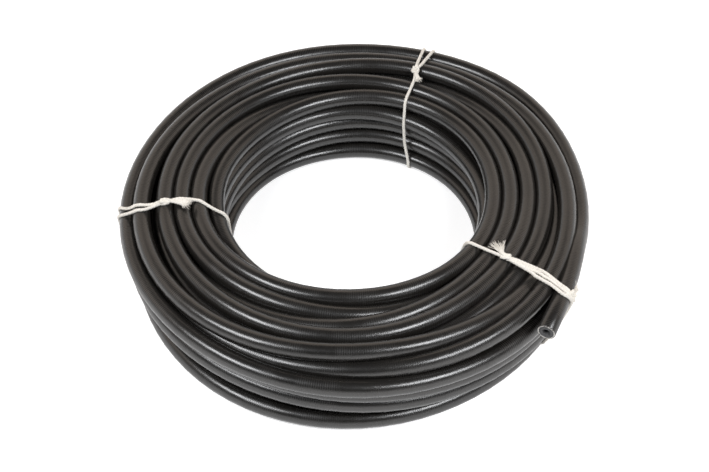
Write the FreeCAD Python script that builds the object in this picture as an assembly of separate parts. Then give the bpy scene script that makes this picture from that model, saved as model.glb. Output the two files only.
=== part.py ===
"""A tied coil of black rubber hose with a textile braid inside its wall, in millimetres.

The coil lies on its flat side. Z is the axis of the coil and points up, and the origin is on the
surface that it lies on, under the middle of the coil. The hose is one length of three bonded layers.
Its wound turns are one closed solid with the outline of the outermost turns, and its two ends are
layered tubes that leave that solid face to face. Three strings, each doubled, hold the turns together.
"""
import FreeCAD, Part
import math
import os

Vector = FreeCAD.Vector
UP = Vector(0, 0, 1)

# Hose section
HOSE_DIAMETER = 14.0
BORE_DIAMETER = 6.0
COVER_WALL = 0.5
BRAID_WALL = 0.8

# Winding: columns count outwards from the eye, rows count upwards from the surface
INNER_TURN_RADIUS = 111.5
COLUMN_PITCH = 14.4
ROW_PITCH = 12.2
OVAL_DIFFERENCE = 10.8      # long half axis less short half axis
OVAL_DIRECTION = 52.0       # degrees from +X to the long axis
VALLEY_TRIM = 32.0          # degrees of each turn's section lost in the valley beside it
OUTLINE = [
    (0, 0), (5, 0),
    (4.5, 1), (5, 2), (4.5, 3), (5, 4), (4, 4),
    (3.5, 5), (2.5, 5), (1.5, 5),
    (1, 4), (0.5, 3), (0, 2), (0.5, 1),
]

# Last turn: it lies in the groove between two turns of the row below and ends in the outer free end
LAST_TURN_COLUMN = 4.8
LAST_TURN_SINK = 0.5        # how far it presses into that groove
LAST_TURN_FROM = -14.0      # degrees, where the free end leaves the turn
LAST_TURN_TO = 208.0        # degrees, where the turn starts to sink into the row below
SINK_TILT = 8.0
SINK_SPAN = 42.0

# Outer free end
OUTER_END_LENGTH = 118.0
OUTER_END_SPREAD = 1.7      # degrees that it turns away from the coil
OUTER_END_RISE = 0.25       # degrees, upwards

# Inner end: the first turn laid leaves the inner wall at the bottom and points into the eye
INNER_END_ROW = 0
INNER_END_ANGLE = 250.0     # degrees, where its axis crosses the surface of the inner wall
INNER_END_HEADING = 45.0    # degrees from the wall into the eye
INNER_END_LENGTH = 45.0
INNER_END_ROOT = 40.0       # part of its axis that is lost among the turns
SEAT_GAP = 0.3

# Ties
STRING_DIAMETER = 2.0
STRING_GAP = 0.15
STRAND_SPACING = 2.15
KNOT_RADIUS = 2.8
KNOT_WRAPS = 3
KNOT_WRAP_PITCH = 2.3
KNOT_WRAP_WIDTH = 1.5       # of each wrap's full height
KNOT_VALLEY = 0.5           # how deep the valley between two wraps is
TAIL_LENGTH = 12.0
TAIL_SPREAD = 14.0          # degrees, each to its side of the tie
TAIL_CLIMB = 8.0            # degrees
TAIL_ROOT = 1.0             # how far a tail starts inside its knot
TAIL_SIDE = 1.1             # from the middle of the knot to each tail's axis
EDGE_KNOT_WRAPS = 2
TIES = {                    # knot_reach is from the innermost turns out to the knot
    "back_tie": {"angle": 67.0, "knot_reach": 35.5},
    "left_tie": {"angle": 190.0, "knot_reach": 40.5},
    "right_tie": {"angle": 325.0, "knot_reach": 31.5},
}
TIES_WITH_EDGE_KNOT = ("right_tie",)
EDGE_KNOT_SLOPE = 50.0      # degrees up from the radial direction, on the corner turn
EDGE_TAIL_HEADING = 95.0    # degrees from the radial direction

SECTION_SIDES = 8           # flats of a turn's or a string's plain section
FLAT_STEP = 360 / SECTION_SIDES
HOSE_RADIUS = HOSE_DIAMETER / 2
STRING_RADIUS = STRING_DIAMETER / 2
STRING_SEAT = HOSE_RADIUS / math.cos(math.pi / SECTION_SIDES) + STRING_GAP      # clears a section's corners


def direction(angle):
    """Unit vector in the XY plane, at an angle in degrees from +X."""
    return Vector(math.cos(math.radians(angle)), math.sin(math.radians(angle)), 0)


# ---- the four-centre oval that every wound turn follows ----

FOCUS = OVAL_DIFFERENCE / (2 - math.sqrt(2))


def oval_arc(angle):
    """Centre of the oval's arc whose normal has this angle, and what its radius adds to the mean."""
    quarter = int(((angle - OVAL_DIRECTION + 45) % 360) // 90)
    if quarter % 2 == 0:
        return direction(OVAL_DIRECTION + 90 * quarter) * FOCUS, OVAL_DIFFERENCE / 2 - FOCUS
    extra = OVAL_DIFFERENCE / 2 - FOCUS + FOCUS * math.sqrt(2)
    return direction(OVAL_DIRECTION + 90 * quarter) * -FOCUS, extra


def oval_point(mean_radius, angle, height):
    """Point of the oval with this mean radius where its normal has this angle."""
    centre, extra = oval_arc(angle)
    return centre + direction(angle) * (mean_radius + extra) + UP * height


def turn_place(column, row):
    """Mean radius and height of the centre line of a wound turn."""
    return INNER_TURN_RADIUS + column * COLUMN_PITCH, HOSE_RADIUS + row * ROW_PITCH


# ---- sections and straight tubes ----

def flats(centre, along, radius, upright):
    """Wire of a regular polygon whose flats touch a circle, square to a direction."""
    across = along.cross(upright).normalize()
    level = across.cross(along).normalize()
    reach = radius / math.cos(math.pi / SECTION_SIDES)
    corners = []
    for i in range(SECTION_SIDES):
        angle = (i + 0.5) * 2 * math.pi / SECTION_SIDES
        corners.append(centre + across * (reach * math.cos(angle)) + level * (reach * math.sin(angle)))
    return Part.makePolygon(corners + corners[:1])


def rod(start, end, radius):
    """Round straight bar between two points."""
    return Part.makeCylinder(radius, (end - start).Length, start, end - start)


def layers(name, start, end):
    """Cover, braid and liner of one end of the hose, as three concentric tubes."""
    under_cover = HOSE_RADIUS - COVER_WALL
    bounds = [HOSE_RADIUS, under_cover, under_cover - BRAID_WALL, BORE_DIAMETER / 2]
    bars = [rod(start, end, bound) for bound in bounds]
    pieces = {}
    for layer, outside, inside in zip(("cover", "braid", "liner"), bars, bars[1:]):
        pieces[f"{name}_{layer}"] = [outside.cut(inside)]
    return pieces


# ---- the two ends of the hose ----

def outer_end():
    """Start and mouth of the free end that leaves the last turn."""
    radius, height = turn_place(LAST_TURN_COLUMN, 5)
    start = oval_point(radius, LAST_TURN_FROM, height - LAST_TURN_SINK)
    rise = OUTER_END_LENGTH * math.tan(math.radians(OUTER_END_RISE))
    heading = LAST_TURN_FROM - 90 - OUTER_END_SPREAD
    return start, start + direction(heading) * OUTER_END_LENGTH + UP * rise


def inner_end():
    """Root among the turns, start and mouth of the inner end."""
    radius, height = turn_place(0, INNER_END_ROW)
    wall = oval_point(radius - HOSE_RADIUS, INNER_END_ANGLE, height)
    heading = direction(INNER_END_ANGLE + 90 + INNER_END_HEADING)
    start = wall + heading * HOSE_RADIUS
    return start - heading * INNER_END_ROOT, start, start + heading * INNER_END_LENGTH


# ---- the wound turns ----

def trim(one, two):
    """Degrees of section lost between two turns of the outline: a quarter where others lie between them."""
    apart = math.hypot(one[0] - two[0], one[1] - two[1])
    return VALLEY_TRIM if apart < 2 * COLUMN_PITCH else 89.9


def tangent_line(place, angle, reach):
    """Line in a section, as the angle of its normal and its distance from the oval's centre."""
    out = place[0] * math.cos(math.radians(angle))
    up = place[1] * math.sin(math.radians(angle))
    return angle, round(out + up + reach, 6)


def crossing(one, two):
    """Distance out and height of the point where two such lines cross."""
    a, b = math.cos(math.radians(one[0])), math.sin(math.radians(one[0]))
    c, d = math.cos(math.radians(two[0])), math.sin(math.radians(two[0]))
    determinant = a * d - b * c
    return (one[1] * d - b * two[1]) / determinant, (a * two[1] - one[1] * c) / determinant


def outline_of(lines, origin, out):
    """Closed wire through the crossings of neighbouring lines, standing on an origin and a direction."""
    corners = []
    for one, two in zip(lines, lines[1:] + lines[:1]):
        radius, height = crossing(one, two)
        corners.append(origin + out * radius + UP * height)
    return Part.makePolygon(corners + corners[:1])


def turn_outline(seam_angle):
    """Face with the outline of the outermost turns, standing in the plane at one end of a quarter.

    Of each turn it has every flat of its section that shows, and turns level with each other share one.
    """
    places = [turn_place(column, row) for column, row in OUTLINE]
    lines = []
    for i, place in enumerate(places):
        before = places[i - 1]
        after = places[(i + 1) % len(places)]
        first = math.degrees(math.atan2(before[1] - place[1], before[0] - place[0])) + trim(before, place)
        last = math.degrees(math.atan2(after[1] - place[1], after[0] - place[0])) - trim(after, place)
        angle = math.ceil(first / FLAT_STEP) * FLAT_STEP
        while angle < first + (last - first) % 360:
            line = tangent_line(place, angle % 360, HOSE_RADIUS)
            if line not in lines[-1:]:
                lines.append(line)
            angle += FLAT_STEP
    centre, extra = oval_arc(seam_angle + 1)
    inmost = centre + direction(seam_angle) * extra
    return Part.Face(outline_of(lines, inmost, direction(seam_angle)))


def wound_turns():
    """The ring of turns without the last one: one quarter for each arc of the oval."""
    quarters = []
    for quarter in range(4):
        seam = OVAL_DIRECTION - 45 + 90 * quarter
        centre = oval_arc(seam + 1)[0]
        quarters.append(turn_outline(seam).revolve(centre, UP, 90))
    return quarters[0].fuse(quarters[1:])


def last_turn():
    """The last turn, from the free end round to where it is lost in the row below, as bars."""
    radius, height = turn_place(LAST_TURN_COLUMN, 5)
    height -= LAST_TURN_SINK
    seams = [OVAL_DIRECTION - 45 + 90 * quarter for quarter in range(5)]
    stops = [seam for seam in seams if LAST_TURN_FROM < seam < LAST_TURN_TO]
    stops = [LAST_TURN_FROM] + stops + [LAST_TURN_TO]
    bars = []
    for start, stop in zip(stops, stops[1:]):
        centre, extra = oval_arc((start + stop) / 2)
        place = centre + direction(start) * (radius + extra) + UP * height
        face = Part.Face(flats(place, direction(start + 90), HOSE_RADIUS, UP))
        bars.append(face.revolve(centre, UP, stop - start))
    tilt = math.radians(SINK_TILT)
    along = direction(LAST_TURN_TO + 90)
    axis = UP * math.cos(tilt) + along * math.sin(tilt)
    place = oval_point(radius, LAST_TURN_TO, height)
    centre = oval_arc(LAST_TURN_TO)[0] + UP * height
    face = Part.Face(flats(place, along * math.cos(tilt) - UP * math.sin(tilt), HOSE_RADIUS, UP))
    bars.append(face.revolve(centre, axis, SINK_SPAN))
    return bars


# ---- ties ----

def convex_hull(places):
    """Corners of the smallest convex outline round some places, anticlockwise."""
    def half(ordered):
        chain = []
        for place in ordered:
            while len(chain) > 1:
                ax, ay = chain[-1][0] - chain[-2][0], chain[-1][1] - chain[-2][1]
                bx, by = place[0] - chain[-1][0], place[1] - chain[-1][1]
                if ax * by - ay * bx > 1e-6:
                    break
                chain.pop()
            chain.append(place)
        return chain[:-1]

    ordered = sorted(places)
    return half(ordered) + half(ordered[::-1])


def section_places(angle, end_points):
    """Centres of the turns in the plane of a tie, as distances from the oval's centre there and heights."""
    centre, extra = oval_arc(angle)
    places = []
    for column, row in OUTLINE:
        radius, height = turn_place(column, row)
        places.append((radius + extra, height))
    if (angle - LAST_TURN_FROM) % 360 < LAST_TURN_TO - LAST_TURN_FROM:
        radius, height = turn_place(LAST_TURN_COLUMN, 5)
        places.append((radius + extra, height - LAST_TURN_SINK))
        return places
    across = direction(angle + 90)
    start, end = end_points
    before = (start - centre).dot(across)
    after = (end - centre).dot(across)
    if before * after < 0:
        middle = start + (end - start) * (before / (before - after)) - centre
        slant = abs((end - start).normalize().dot(across))
        places.append((middle.dot(direction(angle)) + HOSE_RADIUS * (1 / slant - 1), middle.z))
    return places


def tie_outline(angle, corners, side, reach, level):
    """Closed wire of tangents round the section of the coil, no lower than a level under it."""
    lines = []
    for i, corner in enumerate(corners):
        before = corners[i - 1]
        after = corners[(i + 1) % len(corners)]
        first = math.degrees(math.atan2(corner[1] - before[1], corner[0] - before[0])) - 90
        last = math.degrees(math.atan2(after[1] - corner[1], after[0] - corner[0])) - 90
        stop = first + (last - first) % 360
        flat = (math.floor(first / FLAT_STEP) + 1) * FLAT_STEP
        while flat < stop:
            lines.append(tangent_line(corner, flat, reach))
            flat += FLAT_STEP
        lines.append(tangent_line(corner, stop, reach))
    lines = [(normal, -level) if normal % 360 == 270 else (normal, distance) for normal, distance in lines]
    centre = oval_arc(angle)[0] + direction(angle + 90) * side
    return outline_of(lines, centre, direction(angle))


def slab(centre, along, across, length):
    """Box square to a strand, wide enough to part both strands of a tie."""
    size = 4 * STRAND_SPACING
    block = Part.makeBox(length, size, size, Vector(-length / 2, -size / 2, -size / 2))
    turn = FreeCAD.Rotation(along, across, along.cross(across), "XYZ")
    block.Placement = FreeCAD.Placement(centre, turn)
    return block


def wraps(count, centre, along):
    """Turns of string round the two strands, side by side, with their middle on the strands' line."""
    length = count * KNOT_WRAP_PITCH
    start = centre - along * (length / 2)
    body = Part.Face(flats(start, along, KNOT_RADIUS - KNOT_VALLEY, UP)).extrude(along * length)
    rings = []
    for i in range(count):
        left = start + along * ((i + 0.5) * KNOT_WRAP_PITCH - KNOT_WRAP_WIDTH / 2)
        rings.append(Part.Face(flats(left, along, KNOT_RADIUS, UP)).extrude(along * KNOT_WRAP_WIDTH))
    return body.fuse(rings)


def tail(start, heading, climb):
    """Short free end of a string, which leaves a knot and rises a little."""
    along = (direction(heading) + UP * math.tan(math.radians(climb))).normalize()
    return Part.Face(flats(start, along, STRING_RADIUS, UP)).extrude(along * TAIL_LENGTH)


def top_knot(angle, knot_reach):
    """Knot on the top run of a tie, its two tails, and the slab that parts the strands there."""
    centre, extra = oval_arc(angle)
    outward = direction(angle)
    height = turn_place(0, 5)[1] + STRING_SEAT + KNOT_RADIUS
    middle = centre + outward * (INNER_TURN_RADIUS + knot_reach + extra) + UP * height
    body = wraps(KNOT_WRAPS, middle, outward)
    length = KNOT_WRAPS * KNOT_WRAP_PITCH
    tails = []
    for side in (-1, 1):
        start = middle + direction(angle + 90) * (side * TAIL_SIDE) + UP * (KNOT_RADIUS / 2)
        start -= outward * (length / 2 - TAIL_ROOT)
        tails.append(tail(start, angle + 180 - side * TAIL_SPREAD, TAIL_CLIMB).cut(body))
    return body, tails, slab(middle, outward, direction(angle + 90), length)


def edge_knot(angle, corners):
    """Second knot of a tie, on its strands at the top outer corner, its tail and its slab."""
    corner = max(corners, key=lambda place: place[0] + place[1])
    reach = STRING_SEAT + KNOT_RADIUS
    slope = math.radians(EDGE_KNOT_SLOPE)
    away = direction(angle) * math.cos(slope) + UP * math.sin(slope)
    along = direction(angle) * math.sin(slope) - UP * math.cos(slope)
    middle = oval_arc(angle)[0] + direction(angle) * corner[0] + UP * corner[1] + away * reach
    body = wraps(EDGE_KNOT_WRAPS, middle, along)
    end = tail(middle + away * TAIL_ROOT, angle + EDGE_TAIL_HEADING, TAIL_CLIMB).cut(body)
    return body, end, slab(middle, along, direction(angle + 90), EDGE_KNOT_WRAPS * KNOT_WRAP_PITCH)


def band(angle, corners):
    """The two strands of a tie side by side, once round the section of the coil."""
    width = STRAND_SPACING + STRING_DIAMETER
    walls = []
    for reach, level in ((STRING_SEAT + STRING_DIAMETER, 0), (STRING_SEAT, STRING_DIAMETER)):
        loop = tie_outline(angle, corners, -width / 2, reach, level)
        walls.append(Part.Face(loop).extrude(direction(angle + 90) * width))
    return walls[0].cut(walls[1])


def underside(angle, corners):
    """Groove under the lowest turns that a tie's strands press into them, so the coil still lies level."""
    width = STRAND_SPACING + STRING_DIAMETER + 2 * STRING_GAP
    radii = [corner[0] for corner in corners]
    length = max(radii) - min(radii) + 2 * HOSE_DIAMETER
    low = Vector(min(radii) - HOSE_DIAMETER, -width / 2, -HOSE_RADIUS)
    groove = Part.makeBox(length, width, HOSE_RADIUS + STRING_DIAMETER + STRING_GAP, low)
    groove.Placement = FreeCAD.Placement(oval_arc(angle)[0], FreeCAD.Rotation(UP, angle))
    return groove


def tie(name, angle, knot_reach, end_points):
    """Nodes of one tie, and the space that its strands press into the underside of the coil."""
    corners = convex_hull(section_places(angle, end_points))
    body, tails, parting = top_knot(angle, knot_reach)
    cutters = [parting]
    pieces = {f"{name}_knot": [body], f"{name}_tails": tails}
    if name in TIES_WITH_EDGE_KNOT:
        body, end, parting = edge_knot(angle, corners)
        pieces[f"{name}_edge_knot"] = [body]
        pieces[f"{name}_edge_tail"] = [end]
        cutters += [body, parting]
    pieces[f"{name}_strands"] = [band(angle, corners).cut(cutters)]

    return pieces, underside(angle, corners)


# ---- the whole coil ----

def build():
    """All nodes, by name, each as a list of solids."""
    outer_start, outer_mouth = outer_end()
    inner_root, inner_start, inner_mouth = inner_end()
    nodes = layers("outer_end", outer_start, outer_mouth)
    nodes.update(layers("inner_end", inner_start, inner_mouth))
    hollows = [rod(outer_start, outer_mouth, HOSE_RADIUS + SEAT_GAP / 2)]
    hollows.append(rod(inner_start, inner_mouth, HOSE_RADIUS + SEAT_GAP / 2))
    for name, place in TIES.items():
        pieces, space = tie(name, end_points=[outer_start, outer_mouth], **place)
        nodes.update(pieces)
        hollows.append(space)
    along = inner_start - inner_root
    root = Part.Face(flats(inner_root, along, HOSE_RADIUS, UP)).extrude(along)
    nodes["hose_coil"] = [wound_turns().fuse(last_turn() + [root]).cut(hollows)]
    return nodes


def write(nodes):
    """One STEP file for each node."""
    os.makedirs("parts", exist_ok=True)
    for name, shapes in nodes.items():
        solids = [solid for shape in shapes for solid in shape.Solids]
        shape = solids[0] if len(solids) == 1 else Part.makeCompound(solids)
        volumes = [round(solid.Volume, 1) for solid in solids]
        print(f"{name}: {len(solids)} solids, valid {shape.isValid()}, volumes {volumes}")
        shape.exportStep(f"parts/{name}.step")


def report_ends(nodes):
    """Print each end's one straight run, and its layers' volume beside its section times its length."""
    section = math.pi * (HOSE_RADIUS ** 2 - (BORE_DIAMETER / 2) ** 2)
    for name, length in (("outer_end", OUTER_END_LENGTH), ("inner_end", INNER_END_LENGTH)):
        volume = sum(nodes[f"{name}_{layer}"][0].Volume for layer in ("cover", "braid", "liner"))
        print(f"{name}: straight run {length} mm, {volume:.0f} mm3 beside {section * length:.0f} mm3")


if __name__ == "__main__":
    pieces = build()
    write(pieces)
    report_ends(pieces)
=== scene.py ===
import math
import bpy
import numpy as np
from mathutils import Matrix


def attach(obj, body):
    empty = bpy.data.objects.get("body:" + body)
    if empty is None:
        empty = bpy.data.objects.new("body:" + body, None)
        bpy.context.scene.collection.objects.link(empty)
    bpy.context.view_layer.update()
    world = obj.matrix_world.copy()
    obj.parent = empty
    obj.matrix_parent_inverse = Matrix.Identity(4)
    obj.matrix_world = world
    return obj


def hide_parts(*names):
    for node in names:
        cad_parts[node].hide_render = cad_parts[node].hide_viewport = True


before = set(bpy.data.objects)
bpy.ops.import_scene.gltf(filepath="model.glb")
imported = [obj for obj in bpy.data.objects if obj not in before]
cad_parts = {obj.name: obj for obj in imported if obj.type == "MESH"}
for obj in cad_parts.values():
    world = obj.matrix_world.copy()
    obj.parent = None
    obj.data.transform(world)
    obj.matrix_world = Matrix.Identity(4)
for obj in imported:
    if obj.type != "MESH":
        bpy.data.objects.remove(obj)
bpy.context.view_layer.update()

hose = {
    "diameter": 0.014,          # metres
    "coverWall": 0.0004,
    "braidWall": 0.0010,
    "bore": 0.006,
    "sides": 28,
    "curveSteps": 2,            # rings between two points of the route
    "ripplePitch": 0.0016,
}
diameter = hose["diameter"]


# The winding. Radii and heights are in hose diameters, angles in degrees anticlockwise from +X.
stationsPerTurn = 40          # divisions of one turn

coil = {
    "innerRadius": 7.96,      # mean radius of the innermost column
    "columnPitch": 1.03,
    "rowPitch": 0.871,
    "ovalHalf": 0.386,        # half of long less short half axis
    "ovalAngle": 52.0,
}


def ovalOffset(angle):
    return coil["ovalHalf"] * np.cos(2 * np.radians(angle - coil["ovalAngle"]))


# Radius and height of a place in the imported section, at an angle.
def lane(column, row, angle):
    return (coil["innerRadius"] + column * coil["columnPitch"] + ovalOffset(angle),
            0.5 + row * coil["rowPitch"])


# Where the turns lie: each key is (degrees along the coil, radius, height, firmness), and the degrees add up
# from turn to turn. Turns on the outside give angle, radius and height, buried ones angle, column and row.
keys = []


def seen(turn, rows, firmness=1.0):
    for angle, radius, height in rows:
        keys.append((turn * 360 + angle, radius, height, firmness))


def hidden(turn, rows, firmness=0.12):
    for angle, column, row in rows:
        radius, height = lane(column, row, angle)
        keys.append((turn * 360 + angle, radius, height, firmness))


# the outermost top turn, from the free end
seen(0, [(-15, 12.95, 4.7), (0, 12.93, 4.45), (12, 12.95, 4.45), (25, 13.35, 4.55), (38, 13.85, 4.6),
         (48, 13.8, 4.6), (58, 13.3, 4.62), (70, 12.95, 4.62), (90, 12.85, 4.62), (110, 12.85, 4.6),
         (135, 12.75, 4.5), (155, 12.7, 4.3), (175, 12.75, 4.2), (190, 12.9, 4.15), (205, 13.05, 4.15),
         (220, 13.25, 4.15), (235, 13.4, 4.15), (250, 13.4, 4.05), (265, 13.4, 4.0), (280, 13.55, 3.85),
         (295, 13.65, 3.6), (310, 13.65, 3.5), (330, 13.35, 3.5)])
# outer wall: each turn lies a row lower than the one before it, and they fan out over the front
seen(1, [(-8, 13.0, 3.5), (40, 13.2, 3.6), (90, 13.1, 3.55), (140, 12.7, 3.35), (180, 12.6, 3.2),
         (215, 12.7, 3.1), (240, 12.85, 3.08), (262, 13.45, 3.1), (275, 13.55, 3.0), (295, 13.5, 2.7),
         (320, 13.25, 2.5)], 0.7)
seen(2, [(-10, 13.0, 2.45), (30, 13.05, 2.5), (90, 13.05, 2.5), (140, 12.7, 2.3), (180, 12.55, 2.1),
         (215, 12.6, 2.0), (240, 12.8, 2.15), (262, 13.3, 2.22), (275, 13.4, 2.1), (295, 13.3, 1.8),
         (320, 13.1, 1.55)], 0.7)
seen(3, [(-10, 12.9, 1.45), (30, 12.95, 1.5), (90, 12.95, 1.4), (140, 12.6, 1.2), (180, 12.45, 1.0),
         (215, 12.5, 0.9), (240, 12.75, 1.25), (255, 12.95, 1.38), (262, 13.0, 1.4), (270, 12.9, 1.4),
         (277, 12.75, 1.4), (295, 12.3, 1.4), (330, 12.1, 1.3)], 0.7)
seen(4, [(0, 12.1, 1.25), (60, 12.1, 1.25), (100, 12.0, 1.35), (125, 11.9, 1.35), (150, 11.75, 1.0),
         (175, 11.6, 0.55), (200, 12.0, 0.5), (212, 12.3, 0.5), (225, 12.8, 0.5), (237, 13.3, 0.5),
         (250, 13.5, 0.5), (263, 13.5, 0.5), (272, 13.4, 0.5), (282, 13.25, 0.5), (295, 13.0, 0.5),
         (320, 12.75, 0.5)], 0.75)
seen(5, [(-10, 12.85, 0.5), (60, 12.95, 0.5), (85, 12.7, 0.5), (105, 12.2, 0.5), (125, 11.6, 0.5),
         (145, 11.0, 0.5), (170, 10.6, 0.5), (210, 10.5, 0.5)], 0.6)
# the buried turns, from the floor up
buried = 5
hidden(buried, [(260, 2.9, 0), (310, 3.4, 0)])
hidden(buried + 1, [(0, 4, 0), (120, 4, 0), (200, 3.1, 0), (270, 3, 0)])
hidden(buried + 2, [(0, 3, 0), (120, 3, 0), (240, 2, 0)])
hidden(buried + 3, [(0, 2, 0), (120, 2, 0), (240, 1.1, 0)])
hidden(buried + 4, [(0, 1, 0), (120, 1, 0), (240, 1.4, 1)])
hidden(buried + 5, [(0, 1.5, 1), (120, 1.6, 1), (240, 2.6, 1)])
hidden(buried + 6, [(0, 2.7, 1), (120, 2.7, 1), (240, 3.7, 1.2)])
hidden(buried + 7, [(0, 3.8, 1.4), (120, 3.8, 1.5), (240, 4, 2.2)])
hidden(buried + 8, [(0, 4.1, 2.4), (120, 4, 2.4), (240, 2.9, 2)])
hidden(buried + 9, [(0, 2.8, 2), (120, 2.7, 2), (240, 1.5, 2)])
hidden(buried + 10, [(0, 1.4, 2.1), (120, 1.4, 2.2), (240, 1.8, 3)])
hidden(buried + 11, [(0, 2, 3), (120, 2.2, 3.1), (240, 3.2, 3)])
hidden(buried + 12, [(0, 3.3, 3.1), (120, 3.3, 3), (240, 3.8, 3.2)])
# up inside the outermost turn
top = buried + 13
hidden(top, [(0, 4.1, 3.5), (60, 4.1, 3.6), (120, 3.7, 3.5), (180, 3.5, 3.3), (225, 4.0, 3.3)], 0.3)
seen(top, [(250, 12.85, 3.85), (265, 12.95, 4.25), (285, 13.15, 4.6), (305, 13.15, 4.8), (325, 12.8, 4.9),
           (340, 12.5, 4.95)])
seen(top + 1, [(-8, 12.25, 5.0), (10, 12.1, 5.0), (30, 11.95, 5.0), (50, 12.0, 4.8), (68, 12.05, 4.65),
               (85, 11.9, 4.65), (100, 11.8, 4.7), (120, 11.6, 4.75), (140, 11.55, 4.8), (155, 11.7, 4.87),
               (170, 11.9, 4.87), (185, 12.1, 4.87), (200, 12.35, 4.87), (220, 12.65, 4.87),
               (235, 12.7, 4.87), (250, 12.6, 4.87), (265, 12.35, 4.87), (280, 12.15, 4.85),
               (300, 12.2, 4.78), (315, 12.1, 4.7), (335, 11.9, 4.55)])
# once more round
seen(top + 2, [(-5, 11.75, 4.3), (8, 11.75, 4.15)])
hidden(top + 2, [(40, 3.3, 4), (90, 3.05, 4), (130, 3.05, 4)], 0.3)
seen(top + 2, [(165, 11.2, 4.2), (185, 11.35, 4.15), (205, 11.6, 4.15), (225, 11.8, 4.15),
               (240, 11.85, 4.1)], 0.6)
seen(top + 2, [(270, 11.8, 4.2), (285, 11.85, 4.4), (300, 11.75, 4.7), (315, 11.45, 4.87),
               (335, 11.15, 4.87)])
seen(top + 3, [(-8, 10.95, 4.87), (8, 11.15, 4.9), (25, 11.55, 4.95), (40, 11.8, 4.95), (55, 11.75, 5.0),
               (68, 11.5, 5.0), (80, 11.15, 4.95), (95, 10.8, 4.95), (115, 10.6, 4.9), (140, 10.58, 4.87),
               (165, 10.65, 4.87), (185, 10.75, 4.87), (205, 10.98, 4.87), (225, 11.25, 4.87),
               (245, 11.35, 4.87), (265, 11.3, 4.87), (285, 11.1, 4.87), (300, 10.75, 4.87),
               (320, 10.35, 4.87), (340, 10.1, 4.87)])
# and again, passing under its neighbour at the back
seen(top + 4, [(-5, 10.02, 4.87), (15, 10.35, 4.8), (35, 10.65, 4.68), (50, 10.75, 4.45), (65, 10.75, 4.2)])
hidden(top + 4, [(95, 2.3, 4), (140, 2.1, 4), (190, 2.1, 4)], 0.3)
seen(top + 4, [(215, 10.65, 4.15), (235, 10.6, 4.4), (255, 10.6, 4.7), (275, 10.45, 4.85),
               (290, 10.12, 4.87), (310, 9.58, 4.87), (330, 9.23, 4.87)])
seen(top + 5, [(-5, 8.98, 4.87), (15, 9.13, 4.87), (35, 9.43, 4.87), (55, 9.52, 4.87), (80, 9.48, 4.87),
               (105, 9.53, 4.87), (130, 9.54, 4.87), (150, 9.64, 4.87), (170, 9.83, 4.87),
               (190, 9.94, 4.87), (210, 10.0, 4.87), (230, 9.83, 4.87), (250, 9.74, 4.87),
               (268, 9.74, 4.75), (285, 9.42, 4.5), (303, 9.14, 4.25)])
# out of the inner wall on to the top, and back down into the wall
seen(top + 6, [(0, 8.3, 3.7), (20, 8.4, 3.75), (45, 8.55, 3.85), (65, 8.7, 3.9), (90, 8.8, 4.0)], 0.6)
seen(top + 6, [(120, 8.6, 4.3), (140, 8.5, 4.6), (160, 8.67, 4.8), (180, 8.94, 4.87), (200, 9.18, 4.87),
               (220, 8.95, 4.87), (240, 8.78, 4.87), (265, 8.7, 4.87), (290, 8.64, 4.87), (315, 8.57, 4.87),
               (335, 8.45, 4.87)])
seen(top + 7, [(-8, 8.05, 4.8), (10, 8.16, 4.75), (30, 8.4, 4.68), (50, 8.6, 4.62), (70, 8.58, 4.6),
               (90, 8.4, 4.56), (110, 8.07, 4.54), (130, 7.76, 4.5), (150, 7.66, 4.53), (170, 7.87, 4.58),
               (190, 8.02, 4.4), (210, 8.1, 4.1), (235, 8.05, 3.6)])
# inner wall: a hump at the back, a fall at the left, and down a row over the front
inside = {
    "height": [3.35, 2.45, 1.4],
    "hump": [0.45, 0.55, 0.35],
    "fall": [0.55, 0.45, 0.3],
    "drop": [0.9, 0.95, 0.9],
    "radius": [8.05, 8.1, 8.05],
    "dents": [(335, 0.42), (222, 0.25)],    # where the wall bows outwards: degrees, and by how much
    "dentWidth": 28,
}
for k in range(3):
    for angle in (-10, 20, 50, 75, 95, 120, 150, 175, 205, 240, 280, 310):
        t = np.clip((angle - 200) / 120, 0, 1)
        hump = inside["hump"][k] * np.exp(-((angle - 88) / 40) ** 2)
        fall = inside["fall"][k] * np.clip((angle - 110) / 60, 0, 1)
        rise = inside["fall"][k] - inside["drop"][k]
        height = inside["height"][k] + hump - fall + rise * t * t * (3 - 2 * t)
        dent = 0
        for at, depth in inside["dents"]:
            off = (angle - at + 180) % 360 - 180
            dent += depth * np.exp(-(off / inside["dentWidth"]) ** 2)
        radius = inside["radius"][k] + ovalOffset(angle) + dent
        keys.append(((top + 8 + k) * 360 + angle, radius, height, 0.5))
hidden(top + 11, [(0, 0.1, 0.3), (60, 0, 0.1)], 0.3)
hidden(top + 11, [(110, 0, 0), (180, 0, 0), (250, 0, 0)], 0.8)
lastDegree = (top + 11) * 360 + 250
turnCount = top + 12


settling = {
    "rounds": 300,
    "stiffness": 0.25,
    "touching": 0.965,      # diameters between the middles of two turns that touch
    "push": 0.42,
    "pull": (0.02, 0.10),   # towards a turn's own keys: at firmness 0, and more per unit of firmness
    "freeAfter": 0.75,      # share of the rounds after which the pull is a quarter
    "evening": 0.22,
}


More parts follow.
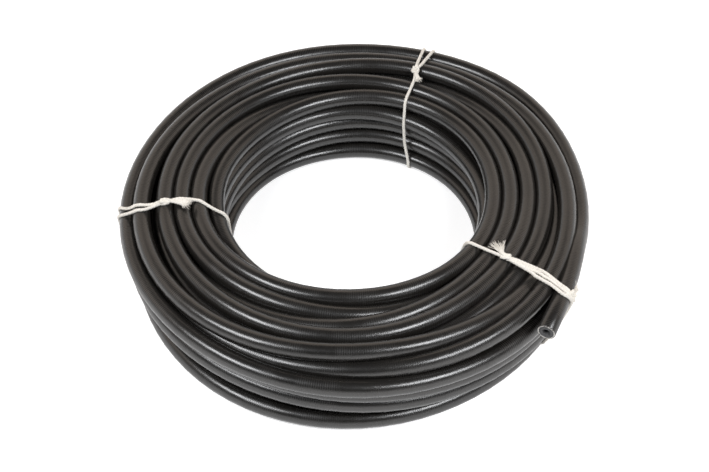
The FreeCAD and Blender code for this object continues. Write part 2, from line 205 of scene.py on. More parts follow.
# Hose line as degrees along the coil, radius and height: smooth curves through the keys, then a relaxation in
# each upright section. Two turns that are too near push each other apart, the turns inside the coil give way
# first, nothing goes below the floor, and neighbours along the hose even out.
def windHose():
    table = np.array(sorted(keys))
    step = 360 / stationsPerTurn
    degrees = np.arange(-15, lastDegree + step / 2, step)
    home = np.stack([smoothThrough(table[:, 0], table[:, i], degrees) for i in (1, 2)], -1)
    firm = np.interp(degrees, table[:, 0], table[:, 3])
    count = len(degrees)
    rows = int(np.ceil(count / stationsPerTurn))
    place = home.copy()
    give = np.zeros(rows * stationsPerTurn)
    give[:count] = 1 / (settling["stiffness"] + firm)
    give = give.reshape(rows, stationsPerTurn)
    share = 2 * give[:, None] / (give[:, None] + give[None] + 1e-9)
    share *= (give[:, None] > 0) & (give[None] > 0)
    share[np.arange(rows), np.arange(rows)] = 0
    for i in range(settling["rounds"]):
        grid = np.zeros((rows * stationsPerTurn, 2))
        grid[:count] = place
        grid = grid.reshape(rows, stationsPerTurn, 2)
        gap = grid[:, None] - grid[None]
        distance = np.sqrt((gap ** 2).sum(-1)) + 1e-9
        overlap = np.clip(settling["touching"] - distance, 0, 1) * share
        push = (gap / distance[..., None] * overlap[..., None]).sum(1) * settling["push"]
        place = place + push.reshape(-1, 2)[:count]
        pull = settling["pull"][0] + settling["pull"][1] * firm
        if i > settling["rounds"] * settling["freeAfter"]:
            pull = pull * 0.25
        place += (home - place) * pull[:, None]
        place[1:-1] += settling["evening"] * (0.5 * (place[:-2] + place[2:]) - place[1:-1])
        place[:, 1] = np.maximum(place[:, 1], 0.5)
    return degrees, place


# Monotone cubic through knots: slopes are harmonic means of neighbouring chords.
def smoothThrough(knots, values, at):
    knots = np.asarray(knots, float)
    chord = np.diff(values) / np.diff(knots)
    slope = np.zeros_like(values)
    same = chord[:-1] * chord[1:] > 0
    slope[1:-1] = np.where(same, 2 * chord[:-1] * chord[1:] / np.where(same, chord[:-1] + chord[1:], 1), 0)
    index = np.clip(np.searchsorted(knots, at) - 1, 0, len(knots) - 2)
    width = knots[index + 1] - knots[index]
    t = (at - knots[index]) / width
    return ((2 * t ** 3 - 3 * t ** 2 + 1) * values[index] + (t ** 3 - 2 * t ** 2 + t) * width * slope[index]
            + (3 * t ** 2 - 2 * t ** 3) * values[index + 1] + (t ** 3 - t ** 2) * width * slope[index + 1])


# Mesh from points and faces: a table of corners, or a list of faces with different numbers of corners.
def meshPiece(name, points, faces, material, uv=None):
    mesh = bpy.data.meshes.new(name)
    mesh.vertices.add(len(points))
    mesh.vertices.foreach_set("co", np.asarray(points, np.float32).ravel())
    sizes = np.array([len(face) for face in faces])
    corners = np.concatenate([np.asarray(face) for face in faces])
    mesh.loops.add(len(corners))
    mesh.loops.foreach_set("vertex_index", corners.astype(np.int32))
    mesh.polygons.add(len(sizes))
    mesh.polygons.foreach_set("loop_start", (np.cumsum(sizes) - sizes).astype(np.int32))
    mesh.update(calc_edges=True)
    mesh.polygons.foreach_set("use_smooth", np.full(len(sizes), True))
    if uv is not None:
        layer = mesh.uv_layers.new(name="along")
        layer.data.foreach_set("uv", np.asarray(uv, np.float32).ravel())
    mesh.materials.append(material)
    mesh.validate()
    piece = bpy.data.objects.new(name, mesh)
    bpy.context.scene.collection.objects.link(piece)
    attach(piece, "root")
    return piece


# A tube is a grid: one row of points for each ring, one column for each side.
# Row i, column j joins to row i + 1 and column j + 1, and the last column joins to the first.
def tubeFaces(rings, sides, start=0):
    i, j = np.meshgrid(np.arange(rings - 1), np.arange(sides), indexing="ij")
    following = (j + 1) % sides
    a, b = i * sides + j, i * sides + following
    return (np.stack([a, b, b + sides, a + sides], -1).reshape(-1, 4) + start).astype(int)


# Point = place on the line + radius * (side * cos(angle) + lift * sin(angle)).
def ringsOn(line, across, at, radii, sides, lobes=0, lobeDepth=0.0, twist=0.0):
    along = lengthsAlong(line)
    tangent = np.gradient(line, along, axis=0)
    tangent /= np.linalg.norm(tangent, axis=1)[:, None]
    side = np.cross(tangent, across)
    side /= np.linalg.norm(side, axis=1)[:, None]
    lift = np.cross(side, tangent)
    place, side, lift = (np.stack([np.interp(at, along, table[:, k]) for k in range(3)], -1)
                         for table in (line, side, lift))
    angle = np.arange(sides) * 2 * math.pi / sides
    turned = angle[None] + (twist * np.asarray(at))[:, None]
    reach = np.asarray(radii)[:, None] * (1 + lobeDepth * (np.abs(np.cos(lobes * angle / 2))[None] - 0.6))
    return (place[:, None] + reach[..., None] * (side[:, None] * np.cos(turned)[..., None]
                                                 + lift[:, None] * np.sin(turned)[..., None]))


def lengthsAlong(line):
    return np.concatenate([[0], np.cumsum(np.linalg.norm(np.diff(line, axis=0), axis=1))])


def tubeUv(at, sides):
    i, j = np.meshgrid(np.arange(len(at) - 1), np.arange(sides), indexing="ij")
    u = np.stack([at[i], at[i], at[i + 1], at[i + 1]], -1)
    v = np.stack([j, j + 1, j + 1, j], -1) / sides
    return np.stack([u, v], -1).reshape(-1, 2)


# Materials

def newMaterial(name, colour, roughness):
    material = bpy.data.materials.new(name)
    material.use_nodes = True
    shader = material.node_tree.nodes["Principled BSDF"]
    shader.inputs["Base Color"].default_value = (*colour, 1)
    shader.inputs["Roughness"].default_value = roughness
    return material, material.node_tree.nodes, material.node_tree.links, shader


def addMath(nodes, links, operation, *values):
    node = nodes.new("ShaderNodeMath")
    node.operation = operation
    for socket, value in zip(node.inputs, values):
        if isinstance(value, (int, float)):
            socket.default_value = value
        else:
            links.new(value, socket)
    return node.outputs[0]


def addNoise(nodes, links, vector, scale, detail=3.0):
    node = nodes.new("ShaderNodeTexNoise")
    node.inputs["Scale"].default_value = scale
    node.inputs["Detail"].default_value = detail
    links.new(vector, node.inputs["Vector"])
    return node.outputs["Fac"]


def addRamp(nodes, links, value, stops):
    node = nodes.new("ShaderNodeValToRGB")
    ramp = node.color_ramp
    while len(ramp.elements) < len(stops):
        ramp.elements.new(0.5)
    for element, (place, colour) in zip(ramp.elements, stops):
        element.position = place
        element.color = (*colour, 1)
    links.new(value, node.inputs["Fac"])
    return node.outputs["Color"]


def addBump(nodes, links, shader, height, strength, distance):
    node = nodes.new("ShaderNodeBump")
    node.inputs["Strength"].default_value = strength
    node.inputs["Distance"].default_value = distance
    links.new(height, node.inputs["Height"])
    links.new(node.outputs["Normal"], shader.inputs["Normal"])
    return node


rubberLook = {
    "colour": (0.0085, 0.0078, 0.0070),
    "dusty": (0.0150, 0.0134, 0.0118),
    "polished": 0.28,           # roughness between the ripples
    "dull": 0.44,               # roughness on the ripples
    "specular": 0.7,
    "rippleDepth": 0.00001,
    "rippleStrength": 0.15,
}


def rubberMaterial():
    material, nodes, links, shader = newMaterial("satinRubber", rubberLook["colour"], rubberLook["polished"])
    shader.inputs["Specular IOR Level"].default_value = rubberLook["specular"]
    uv = nodes.new("ShaderNodeUVMap")
    uv.uv_map = "along"
    place = nodes.new("ShaderNodeTexCoord").outputs["Object"]
    dust = addNoise(nodes, links, place, 9, 4)
    tone = addRamp(nodes, links, dust, [(0.35, rubberLook["colour"]), (0.7, rubberLook["dusty"])])
    links.new(tone, shader.inputs["Base Color"])
    parts = nodes.new("ShaderNodeSeparateXYZ")
    links.new(uv.outputs["UV"], parts.inputs[0])
    # ripple = (1 + sin(2 pi * length / pitch)) / 2, in patches
    phase = addMath(nodes, links, "MULTIPLY", parts.outputs["X"], 2 * math.pi / hose["ripplePitch"])
    wave = addMath(nodes, links, "MULTIPLY_ADD", addMath(nodes, links, "SINE", phase), 0.5, 0.5)
    blotches = addNoise(nodes, links, place, 45, 2)
    patches = addRamp(nodes, links, blotches, [(0.42, (0, 0, 0)), (0.66, (0.9, 0.9, 0.9))])
    ripple = addMath(nodes, links, "MULTIPLY", wave, patches)
    grain = addMath(nodes, links, "MULTIPLY", addNoise(nodes, links, place, 350, 2), 0.3)
    marks = addMath(nodes, links, "ADD", ripple, grain)
    spread = rubberLook["dull"] - rubberLook["polished"]
    rough = addMath(nodes, links, "MULTIPLY_ADD", marks, spread, rubberLook["polished"] - 0.04)
    links.new(rough, shader.inputs["Roughness"])
    addBump(nodes, links, shader, ripple, rubberLook["rippleStrength"], rubberLook["rippleDepth"])
    return material


def cutRubberMaterial(name, colour, roughness):
    material, nodes, links, shader = newMaterial(name, colour, roughness)
    place = nodes.new("ShaderNodeTexCoord").outputs["Object"]
    grain = addNoise(nodes, links, place, 900, 3)
    paler = tuple(value * 1.7 for value in colour)
    links.new(addRamp(nodes, links, grain, [(0.35, colour), (0.7, paler)]), shader.inputs["Base Color"])
    addBump(nodes, links, shader, grain, 0.5, 0.0003)
    return material


braidLook = {"yarn": (0.62, 0.60, 0.56), "bed": (0.07, 0.067, 0.063)}


def braidMaterial():
    material, nodes, links, shader = newMaterial("yarnBraid", braidLook["yarn"], 0.8)
    place = nodes.new("ShaderNodeTexCoord").outputs["Object"]
    cells = nodes.new("ShaderNodeTexVoronoi")
    cells.inputs["Scale"].default_value = 1300
    links.new(place, cells.inputs["Vector"])
    distance = cells.outputs["Distance"]
    tone = addRamp(nodes, links, distance, [(0.42, braidLook["yarn"]), (0.72, braidLook["bed"])])
    links.new(tone, shader.inputs["Base Color"])
    addBump(nodes, links, shader, distance, 0.6, -0.0003)
    return material


stringLook = {"colour": (0.82, 0.785, 0.72), "shade": (0.62, 0.58, 0.51), "roughness": 0.85}


def stringMaterial():
    material, nodes, links, shader = newMaterial("softString", stringLook["colour"], stringLook["roughness"])
    shader.inputs["Sheen Weight"].default_value = 0.3
    shader.inputs["Sheen Roughness"].default_value = 0.5
    place = nodes.new("ShaderNodeTexCoord").outputs["Object"]
    fibre = addNoise(nodes, links, place, 1500, 3)
    links.new(addRamp(nodes, links, fibre, [(0.3, stringLook["shade"]), (0.55, stringLook["colour"])]),
              shader.inputs["Base Color"])
    addBump(nodes, links, shader, fibre, 0.5, 0.0004)
    return material


rubber = rubberMaterial()
liner = cutRubberMaterial("linerRubber", (0.034, 0.034, 0.035), 0.6)
braid = braidMaterial()
cotton = stringMaterial()

# The route of the hose: outer mouth, free end, the turns, then the bend into the eye and the inner mouth.
# The free end's points are degrees, radius and height.

freeEnd = [(312.9, 14.77, 4.86), (322.0, 14.08, 4.86), (330.0, 13.65, 4.86), (340.0, 13.25, 4.84)]
innerEnd = {
    "leaves": 201.0,            # degrees, the last point on the wound turn
    "mouth": (0.0044949, -0.0784995, 0.007),
    "heading": (0.9063078, 0.4226183, 0.0),
    "handles": (0.035, 0.060),  # of the bend, at the turn and at the mouth
    "steps": 8,
}


# The turns, then a cubic curve from the last of them to the inner mouth.
def hoseRoute():
    degrees, place = windHose()
    last = (turnCount - 1) * 360 + innerEnd["leaves"]
    kept = degrees <= last
    angle = np.radians(np.concatenate([[row[0] for row in freeEnd], degrees[kept]]))
    radius = np.concatenate([[row[1] for row in freeEnd], place[kept, 0]]) * diameter
    height = np.concatenate([[row[2] for row in freeEnd], place[kept, 1]]) * diameter
    turns = np.stack([radius * np.cos(angle), radius * np.sin(angle), height], -1)
    start, mouth, heading = turns[-1], np.array(innerEnd["mouth"]), np.array(innerEnd["heading"])
    away = (start - turns[-2]) / np.linalg.norm(start - turns[-2])
    near, far = start + away * innerEnd["handles"][0], mouth - heading * innerEnd["handles"][1]
    t = np.linspace(0, 1, innerEnd["steps"] + 1)[1:, None]
    bend = (1 - t) ** 3 * start + 3 * t * (1 - t) ** 2 * near + 3 * t ** 2 * (1 - t) * far + t ** 3 * mouth
    return np.concatenate([turns, bend])


def routeCurve(points):
    curve = bpy.data.curves.new("hoseRoute", "CURVE")
    curve.dimensions = "3D"
    curve.resolution_u = hose["curveSteps"]
    spline = curve.splines.new("NURBS")
    spline.points.add(len(points) - 1)
    spline.points.foreach_set("co", np.column_stack([points, np.ones(len(points))]).ravel())
    spline.order_u = 3
    spline.use_endpoint_u = True
    carrier = bpy.data.objects.new("hoseRoute", curve)
    bpy.context.scene.collection.objects.link(carrier)
    bpy.context.view_layer.update()
    mesh = bpy.data.meshes.new_from_object(carrier.evaluated_get(bpy.context.evaluated_depsgraph_get()))
    line = np.zeros(len(mesh.vertices) * 3)
    mesh.vertices.foreach_get("co", line)
    bpy.data.objects.remove(carrier)
    bpy.data.curves.remove(curve)
    bpy.data.meshes.remove(mesh)
    return line.reshape(-1, 3)


hoseLine = routeCurve(hoseRoute())
hoseAlong = lengthsAlong(hoseLine)
hoseLength = float(hoseAlong[-1])
print("hose line", len(hoseLine), "points", round(hoseLength, 3), "m")

upwards = np.array([0, 0, 1.0])
cut = {
    "outerDeep": 0.118,         # how far the bore is open, in metres
    "innerDeep": 0.045,
    "outerRings": 16,           # rings down the cover's inside
    "innerRings": 8,
    "faceRings": 5,             # rings across the cut face of a layer, and down each of its walls
    "wallRings": 13,
    "braidSides": 120,
    "linerSides": 48,
    "edge": 0.00025,
    "braidBulge": 0.0003,
    "linerBulge": 0.00025,
    "yarns": 24,
}


# Cover: a closed sleeve, from a plug deep in the outer end out to its mouth, along the outside to the
# inner mouth, and back in to a plug there.
def hoseCover():
    outside, inside = diameter / 2, diameter / 2 - hose["coverWall"]
    edge = cut["edge"]
    middle = hoseAlong[(hoseAlong > 3 * edge) & (hoseAlong < hoseLength - 3 * edge)]
    inOuter = np.linspace(cut["outerDeep"], 0, cut["outerRings"])
    inInner = np.linspace(hoseLength, hoseLength - cut["innerDeep"], cut["innerRings"])
    at = np.concatenate([inOuter, [0, edge], middle, [hoseLength - edge, hoseLength], inInner])
    radii = np.concatenate([np.full(cut["outerRings"], inside), [outside - edge, outside],
                            np.full(len(middle), outside), [outside, outside - edge],
                            np.full(cut["innerRings"], inside)])
    points = ringsOn(hoseLine, upwards, at, radii, hose["sides"])
    rings, sides = points.shape[:2]
    grid = tubeFaces(rings, sides)[:, ::-1]
    first = np.arange(sides)
    faces = [*grid, first, first[::-1] + (rings - 1) * sides]
    wallUv = tubeUv(at, sides).reshape(-1, 4, 2)[:, ::-1].reshape(-1, 2)
    uv = np.concatenate([wallUv, np.zeros((2 * sides, 2))])
    return meshPiece("hoseCover", points.reshape(-1, 3), faces, rubber, uv=uv)


# Layer under the cover: a thick sleeve. Its cut face swells by bulge * sin(pi * way across), and with yarns
# that is multiplied by (1 + cos(yarns * angle)) / 2.
def hoseLayer(name, outer, inside, outside, material, sides, bulge=0.0, yarns=0):
    deep = cut["outerDeep"] if outer else cut["innerDeep"]
    face, wall = cut["faceRings"], cut["wallRings"]
    across = np.linspace(inside, outside, face)
    down = np.linspace(0, deep * 0.99, wall + 1)[1:]        # ends just short of the plug
    depth = np.concatenate([np.zeros(face), down, down[::-1]])
    radii = np.concatenate([across, np.full(wall, outside), np.full(wall, inside)])
    at = depth if outer else hoseLength - depth
    points = ringsOn(hoseLine, upwards, at, radii, sides)
    outwards = hoseLine[0] - hoseLine[1] if outer else hoseLine[-1] - hoseLine[-2]
    outwards = outwards / np.linalg.norm(outwards)
    angle = np.arange(sides) * 2 * math.pi / sides
    profile = np.sin(np.linspace(0, math.pi, face))
    swell = bulge * profile[:, None] * (1 + np.cos(yarns * angle)[None]) / 2
    points[:face] += swell[..., None] * outwards
    rings = len(at)
    grid = tubeFaces(rings + 1, sides) % (rings * sides)
    faces = grid[:, ::-1] if outer else grid
    return meshPiece(name, points.reshape(-1, 3), faces, material)


cover = hoseCover()
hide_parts("hose_coil", "outer_end_cover", "inner_end_cover")
coverInside = diameter / 2 - hose["coverWall"]
braidInside = coverInside - hose["braidWall"]
layers = []
for side in ("outer", "inner"):
    outer = side == "outer"
    yarns = hoseLayer(side + "EndBraid", outer, braidInside, coverInside, braid, cut["braidSides"],
                      cut["braidBulge"], cut["yarns"])
    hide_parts(side + "_end_braid")
    bore = hoseLayer(side + "EndLiner", outer, hose["bore"] / 2, braidInside, liner, cut["linerSides"],
                     cut["linerBulge"])
    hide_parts(side + "_end_liner")
    layers += [yarns, bore]
print("hose and its two cut ends")

# Ties: string pulled round the whole bundle and knotted on top

string = {
    "radius": 0.0013,
    "lobes": 3,
    "lobeDepth": 0.24,
    "twist": 850.0,             # radians per metre
    "sides": 15,
    "step": 0.0007,
    "overHose": 0.45,           # the string's middle above the hose and the floor, in its radii
    "overFloor": 0.85,
}
knotShape = {"lift": 0.0006, "height": 0.0017, "points": 220}
tailShape = {
    "fibres": 34,
    "fibrePoints": 9,
    "fibreRadii": (0.00030, 0.00011),
    "fibreSides": 5,
    "spread": 0.26,             # sideways, as a share of the fibre's length
    "rise": (0.05, 0.14),
    "reach": (0.45, 1.1),
    "sway": 0.0010,
    "root": (0.0005, 0.0003),
}
ties = {
    # a strand's points are degrees round the section (0 outside, 90 on top, 180 in the eye) and on the coil;
    # a tail has its degrees from the tie's own line on the knot, then millimetres of string and of frayed end
    "back": {
        "loop": [(-90, 66), (-50, 69.5), (20, 70), (50, 69.5), (80, 68.5), (92, 68), (110, 66.5),
                 (135, 66), (165, 64.5), (190, 63.5), (211, 61), (235, 61), (270, 66)],
        "extra": [[(-90, 67), (80, 67), (92, 68)]],
        "knot": 91, "tails": [(-152, 9.5, 4.5), (-164, 10.5, 4.5)], "wide": 0.0017, "long": 0.0032},
    "left": {
        "loop": [(-90, 188), (-50, 182.5), (10, 182.5), (51, 189), (70, 190.5), (88, 190.5), (104, 189.5),
                 (116, 190), (125, 191), (139, 194.5), (157, 198), (192, 197), (235, 196), (270, 188)],
        "extra": [[(-90, 189.5), (-50, 185.5), (6, 185.5), (51, 191), (67, 192), (88, 190.5)]],
        "knot": 88, "tails": [(164, 17.0, 5), (159, 16.5, 5), (154, 15.5, 5), (148, 13.5, 4.5)],
        "wide": 0.0013, "long": 0.0037},
    "right": {
        "loop": [(-90, 325), (-50, 325), (31, 323.5), (44, 324), (57, 325), (88, 324.5), (100, 323.5),
                 (131, 322.5), (160, 322.5), (235, 323), (270, 325)],
        "extra": [[(-90, 324), (-50, 324), (20, 322.5), (31, 323), (40, 322), (62, 323), (97, 323.5)],
                  [(28, 323), (38, 323), (57, 324), (96, 323.5)]],
        "knot": 97, "tails": [(142, 6.0, 8.0), (117, 5.0, 8.0)], "wide": 0.0014, "long": 0.0034,
        "edge": {"knot": 34, "size": (0.0026, 0.0020, 0.0016), "tail": (0.004, 0.006), "seed": 91}},
}
section = {"middleRadius": 10.7, "middleHeight": 2.7}       # in hose diameters
sideLean = 8.0      # degrees on the coil between a tie's three loops


# Closed loop round the section: for every outward direction, the hose that lies farthest that way.
def bandSection(angle):
    azimuth = np.degrees(np.unwrap(np.arctan2(hoseLine[:, 1], hoseLine[:, 0])))
    passes = np.arange(azimuth[0] // 360, azimuth[-1] // 360 + 1) * 360 + angle
    passes = passes[(passes > azimuth[0]) & (passes < azimuth[-1])]
    centres = np.stack([np.interp(passes, azimuth, np.hypot(hoseLine[:, 0], hoseLine[:, 1])),
                        np.interp(passes, azimuth, hoseLine[:, 2])], -1)
    facing = np.radians(np.linspace(-90, 270, 360 * 8 + 1))
    normal = np.stack([np.cos(facing), np.sin(facing)], -1)
    farthest = np.argmax(normal @ centres.T, axis=1)
    loop = centres[farthest] + (diameter / 2 + string["overHose"] * string["radius"]) * normal
    loop[:, 1] = np.maximum(loop[:, 1], string["overFloor"] * string["radius"])
    return loop


# Degrees round the section: the direction from its middle.
def roundSection(loop):
    return np.degrees(np.unwrap(np.arctan2(loop[:, 1] - section["middleHeight"] * diameter,
                                           loop[:, 0] - section["middleRadius"] * diameter)))


def evenly(line, step):
    along = lengthsAlong(line)
    keep = np.concatenate([[True], np.diff(along) > 1e-9])
    at = np.linspace(0, along[-1], max(int(along[-1] / step), 4))
    return np.stack([np.interp(at, along[keep], line[keep, k]) for k in range(line.shape[1])], -1)


# Strand: radius and height from the loop at the tie's middle angle. On the outside, up to 50 to 75 degrees
# round, the loops to either side are mixed in, as far as the strand turns that way along the coil.
def ontoTie(loops, around, strand, middle):
    places, angles = np.array(strand, float).T
    kept = (around >= places[0]) & (around <= places[-1])
    turned = np.interp(around, places, angles)
    lean = ((turned - middle) / sideLean * np.interp(around, (50, 75), (1, 0)))[:, None]
    place = (loops[:, :2] + (loops[:, 2:4] - loops[:, :2]) * np.clip(-lean, 0, 1)
             + (loops[:, 4:] - loops[:, :2]) * np.clip(lean, 0, 1))
    turned = np.radians(turned)
    return np.stack([place[:, 0] * np.cos(turned), place[:, 0] * np.sin(turned), place[:, 1]], -1)[kept]


def softened(line, times=6):
    for _ in range(times):
        line = line.copy()
        line[1:-1] = 0.25 * line[:-2] + 0.5 * line[1:-1] + 0.25 * line[2:]
    return line


# Strand: radius * (1 + depth * (|cos(lobes * angle / 2)| - 0.6)), with the lobes turning along its line.
def strandRings(line, across, radius=string["radius"]):
    at = lengthsAlong(line)
    radii = radius * np.clip(np.minimum(at, at[-1] - at) / radius + 0.3, 0.3, 1)
    return ringsOn(line, across, at, radii, string["sides"], string["lobes"], string["lobeDepth"],
                   string["twist"])


def tubesPiece(name, tubes, material):
    points, faces, start = [], [], 0
    for grid in tubes:
        rings, sides = grid.shape[:2]
        first = np.arange(sides) + start
        faces += [*tubeFaces(rings, sides, start)[:, ::-1], first, first[::-1] + (rings - 1) * sides]
        points.append(grid.reshape(-1, 3))
        start += rings * sides
    return meshPiece(name, np.concatenate(points), faces, material)


# Knot: a trefoil line, (w cos 2t, w sin 2t, 0.55 sin 3t) * size with w = 1 + 0.5 cos 3t, flat on the hose.
def knotLine(centre, along, up, size):
    t = np.linspace(0.35, 2 * math.pi + 0.15, knotShape["points"])
    swing = 1 + 0.5 * np.cos(3 * t)
    flat = np.stack([swing * np.cos(2 * t), swing * np.sin(2 * t), 0.55 * np.sin(3 * t)], -1)
    aside = np.cross(up, along)
    return (centre + flat[:, :1] * along * size[0] + flat[:, 1:2] * aside * size[1]
            + flat[:, 2:] * up * size[2])


def unit(vector):
    return vector / np.linalg.norm(vector)


# Tail: a short bend of string that ends in a brush of single fibres, each a little off its heading.
def tailTubes(start, heading, up, length, brush, seed):
    rng = np.random.default_rng(seed)
    t = np.linspace(0, 1, 24)[:, None]
    line = start + heading * length * t + up * 0.0010 * np.sin(2.6 * t)
    tubes = [strandRings(line, up + 0.3 * heading, string["radius"] * 0.9)]
    aside = np.cross(up, heading)
    s = np.linspace(0, 1, tailShape["fibrePoints"])[:, None]
    for _ in range(tailShape["fibres"]):
        spread = rng.normal(0, tailShape["spread"])
        rise = rng.normal(*tailShape["rise"])
        reach = rng.uniform(*tailShape["reach"]) * brush
        wide, high = tailShape["root"]
        root = line[-5] + aside * rng.normal(0, wide) + up * rng.normal(0, high)
        bend = rng.normal(0, tailShape["sway"])
        sway = spread * reach * s + bend * s ** 2
        fibre = root + heading * (0.001 + reach) * s + aside * sway + up * rise * reach * s
        radii = np.linspace(*tailShape["fibreRadii"], tailShape["fibrePoints"])
        tubes.append(ringsOn(fibre, up + 0.2 * heading, lengthsAlong(fibre), radii, tailShape["fibreSides"]))
    return tubes


# Place on a strand, its outward heading and the way up from the hose under it.
def knotFrame(line, around, place):
    here = np.argmin(np.abs(around - place))
    along = unit(line[max(here - 6, 0)] - line[min(here + 6, len(line) - 1)])
    sideways = unit(np.cross(np.array([0, 0, 1.0]), line[here] * (1, 1, 0)))
    up = unit(np.cross(along, sideways))
    return line[here], along, up


for number, (side, tie) in enumerate(ties.items()):
    name = side + "Tie"
    middleAngle = float(np.interp(80, *np.array(tie["loop"], float).T))
    loops = evenly(np.hstack([bandSection(middleAngle + lean) for lean in (0, -sideLean, sideLean)]),
                   1.7 * string["step"])
    around = roundSection(loops)
    across = np.array([-math.sin(math.radians(middleAngle)), math.cos(math.radians(middleAngle)), 0])
    lines = [ontoTie(loops, around, strand, middleAngle) for strand in [tie["loop"], *tie["extra"]]]
    strands = tubesPiece(name + "Strands", [strandRings(softened(line), across) for line in lines], cotton)
    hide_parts(side + "_tie_strands")
    onLoop = around[(around >= tie["loop"][0][0]) & (around <= tie["loop"][-1][0])]
    centre, along, up = knotFrame(lines[0], onLoop, tie["knot"])
    size = (tie["long"], tie["wide"], knotShape["height"])
    lump = knotLine(centre + up * knotShape["lift"], along, up, size)
    knot = tubesPiece(name + "Knot", [strandRings(lump, up + 0.01 * along)], cotton)
    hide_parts(side + "_tie_knot")
    tubes = []
    for k, (turn, length, brush) in enumerate(tie["tails"]):
        a = math.radians(turn)
        heading = along * math.cos(a) + np.cross(up, along) * math.sin(a)
        start = centre + up * knotShape["lift"] - along * 0.003
        tubes += tailTubes(start, heading, up, length / 1000, brush / 1000, 7 * number + k)
    tails = tubesPiece(name + "Tails", tubes, cotton)
    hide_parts(side + "_tie_tails")
    if "edge" in tie:
        edge = tie["edge"]
        centre, along, up = knotFrame(lines[0], onLoop, edge["knot"])
        lump = knotLine(centre + up * knotShape["lift"], along, up, edge["size"])
        edgeKnot = tubesPiece("rightTieEdgeKnot", [strandRings(lump, up + 0.01 * along)], cotton)
        heading = unit(0.8 * np.cross(up, along) - 0.6 * along * (1, 1, 0) + 0.1 * up)
        tubes = tailTubes(centre + up * 0.0008, heading, up, *edge["tail"], edge["seed"])
        edgeTail = tubesPiece("rightTieEdgeTail", tubes, cotton)
        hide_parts("right_tie_edge_knot")
        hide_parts("right_tie_edge_tail")
print("three ties")

# Floor, world, lamps and camera


# 1 for camera, reflected and transmitted rays, 0 for the rays that only light a surface.
def sightRays(nodes, links):
    rays = nodes.new("ShaderNodeLightPath")
    sight = addMath(nodes, links, "MAXIMUM", rays.outputs["Is Camera Ray"], rays.outputs["Is Glossy Ray"])
    return addMath(nodes, links, "MAXIMUM", sight, rays.outputs["Is Transmission Ray"])


def floorMaterial():
    material, nodes, links, shader = newMaterial("whiteFloor", (0.86, 0.86, 0.86), 0.9)
    # the far floor gets less light, so its glow grows to white between 0.35 and 0.8 m from the middle
    away = nodes.new("ShaderNodeVectorMath")
    away.operation = "LENGTH"
    links.new(nodes.new("ShaderNodeTexCoord").outputs["Object"], away.inputs[0])
    reach = nodes.new("ShaderNodeMapRange")
    for socket, value in (("From Min", 0.35), ("From Max", 0.8), ("To Min", 0.55), ("To Max", 1.0)):
        reach.inputs[socket].default_value = value
    links.new(away.outputs["Value"], reach.inputs["Value"])
    glow = nodes.new("ShaderNodeEmission")
    strength = addMath(nodes, links, "MULTIPLY", sightRays(nodes, links), reach.outputs["Result"])
    links.new(strength, glow.inputs["Strength"])
    both = nodes.new("ShaderNodeAddShader")
    links.new(shader.outputs[0], both.inputs[0])
    links.new(glow.outputs[0], both.inputs[1])
    links.new(both.outputs[0], nodes["Material Output"].inputs["Surface"])
    return material


floorHalf = 6.0
floorDrop = 0.0004      # just below the lowest string
corners = [(x * floorHalf, y * floorHalf, 0) for x, y in ((-1, -1), (1, -1), (1, 1), (-1, 1))]
floorMesh = bpy.data.meshes.new("floor")
floorMesh.from_pydata(corners, [], [(0, 1, 2, 3)])
floorMesh.materials.append(floorMaterial())
floor = bpy.data.objects.new("floor", floorMesh)
bpy.context.scene.collection.objects.link(floor)
floor.location.z = -floorDrop

world = bpy.data.worlds.new("studio")
bpy.context.scene.world = world
world.use_nodes = True
sky = world.node_tree.nodes["Background"]
skyNodes, skyLinks = world.node_tree.nodes, world.node_tree.links
# The room: white walls up to a height, a broad warm screen behind the object, and a dark ceiling. A height is
# the Z of a unit heading, 0 level and 1 overhead, and the screen stands where its Y is above screenSide.
room = {
    "walls": 1.0,
    "wallTop": 0.22,
    "ceilingFrom": 0.30,
    "screen": 1.0,
    "screenTint": (1, 0.86, 0.74),
    "screenTop": 0.74,
    "screenSide": -0.05,
    "topFade": 0.03,
    "sideFade": 0.15,
    "ceiling": 0.06,
    "ceilingTint": (0.80, 0.88, 1),
}
skyward = skyNodes.new("ShaderNodeSeparateXYZ")
skyLinks.new(skyNodes.new("ShaderNodeTexCoord").outputs["Generated"], skyward.inputs[0])


def fade(value, full, none):
    node = skyNodes.new("ShaderNodeMapRange")
    node.inputs["From Min"].default_value = none
    node.inputs["From Max"].default_value = full
    skyLinks.new(value, node.inputs["Value"])
    return node.outputs["Result"]


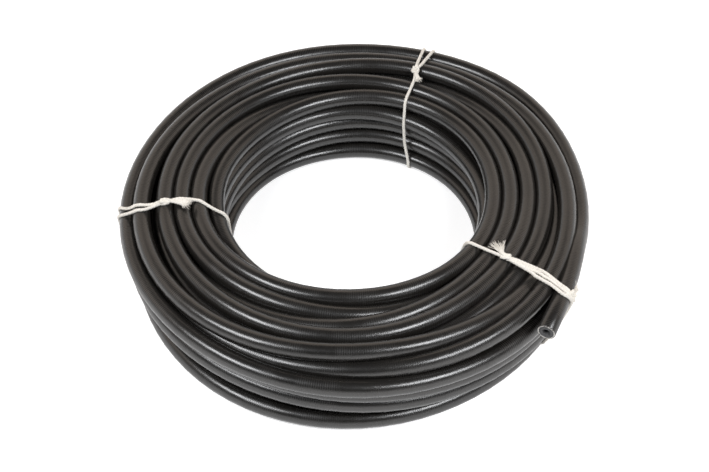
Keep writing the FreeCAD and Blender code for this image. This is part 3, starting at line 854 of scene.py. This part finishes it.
high, back = skyward.outputs["Z"], skyward.outputs["Y"]
walls = fade(high, room["wallTop"], room["ceilingFrom"])
walls = addMath(skyNodes, skyLinks, "MULTIPLY", sightRays(skyNodes, skyLinks), walls)
walls = addMath(skyNodes, skyLinks, "MULTIPLY", walls, room["walls"])
below = fade(high, room["screenTop"] - room["topFade"], room["screenTop"] + room["topFade"])
behind = fade(back, room["screenSide"] + room["sideFade"], room["screenSide"] - room["sideFade"])
screen = addMath(skyNodes, skyLinks, "MULTIPLY", below, behind)
screen = addMath(skyNodes, skyLinks, "MULTIPLY", screen, addMath(skyNodes, skyLinks, "SUBTRACT", 1.0, walls))
sky.inputs["Color"].default_value = (*room["ceilingTint"], 1)
sky.inputs["Strength"].default_value = room["ceiling"]
screen = addMath(skyNodes, skyLinks, "MULTIPLY", screen, room["screen"])
total = sky.outputs[0]
for colour, strength in (((1, 1, 1), walls), (room["screenTint"], screen)):
    glow = skyNodes.new("ShaderNodeBackground")
    glow.inputs["Color"].default_value = (*colour, 1)
    skyLinks.new(strength, glow.inputs["Strength"])
    both = skyNodes.new("ShaderNodeAddShader")
    skyLinks.new(total, both.inputs[0])
    skyLinks.new(glow.outputs[0], both.inputs[1])
    total = both.outputs[0]
skyLinks.new(total, skyNodes["World Output"].inputs["Surface"])

lampTint = (0.97, 0.98, 1)
lampAim = (0, 0, 0.06)
lamps = {
    # azimuth from +X and elevation in degrees, distance and sides in metres, power in watts
    "frontLeft": {"azimuth": 214, "elevation": 48, "distance": 1.3, "size": (0.55, 0.36), "power": 10.5},
    "frontRight": {"azimuth": 313, "elevation": 46, "distance": 1.3, "size": (0.55, 0.36), "power": 11.5},
}
for name, lamp in lamps.items():
    light = bpy.data.lights.new(name, "AREA")
    light.shape = "RECTANGLE"
    light.size, light.size_y = lamp["size"]
    light.energy = lamp["power"]
    light.color = lampTint
    holder = bpy.data.objects.new(name, light)
    bpy.context.scene.collection.objects.link(holder)
    azimuth, elevation = math.radians(lamp["azimuth"]), math.radians(lamp["elevation"])
    away = np.array([math.cos(azimuth) * math.cos(elevation), math.sin(azimuth) * math.cos(elevation),
                     math.sin(elevation)])
    holder.location = away * lamp["distance"] + lampAim
    holder.rotation_euler = (math.pi / 2 - elevation, 0, azimuth + math.pi / 2)

shot = {"place": (0.00182, -0.69902, 0.75054), "tilt": 43.32, "focal": 61.1, "sensor": 36.0}
cameraData = bpy.data.cameras.new("camera")
cameraData.lens, cameraData.sensor_width = shot["focal"], shot["sensor"]
camera = bpy.data.objects.new("camera", cameraData)
camera.location = shot["place"]
camera.rotation_euler = (math.radians(shot["tilt"]), 0, 0)
bpy.context.scene.collection.objects.link(camera)
bpy.context.scene.camera = camera
bpy.context.scene.view_settings.view_transform = "Standard"

print("camera, floor and lamps")
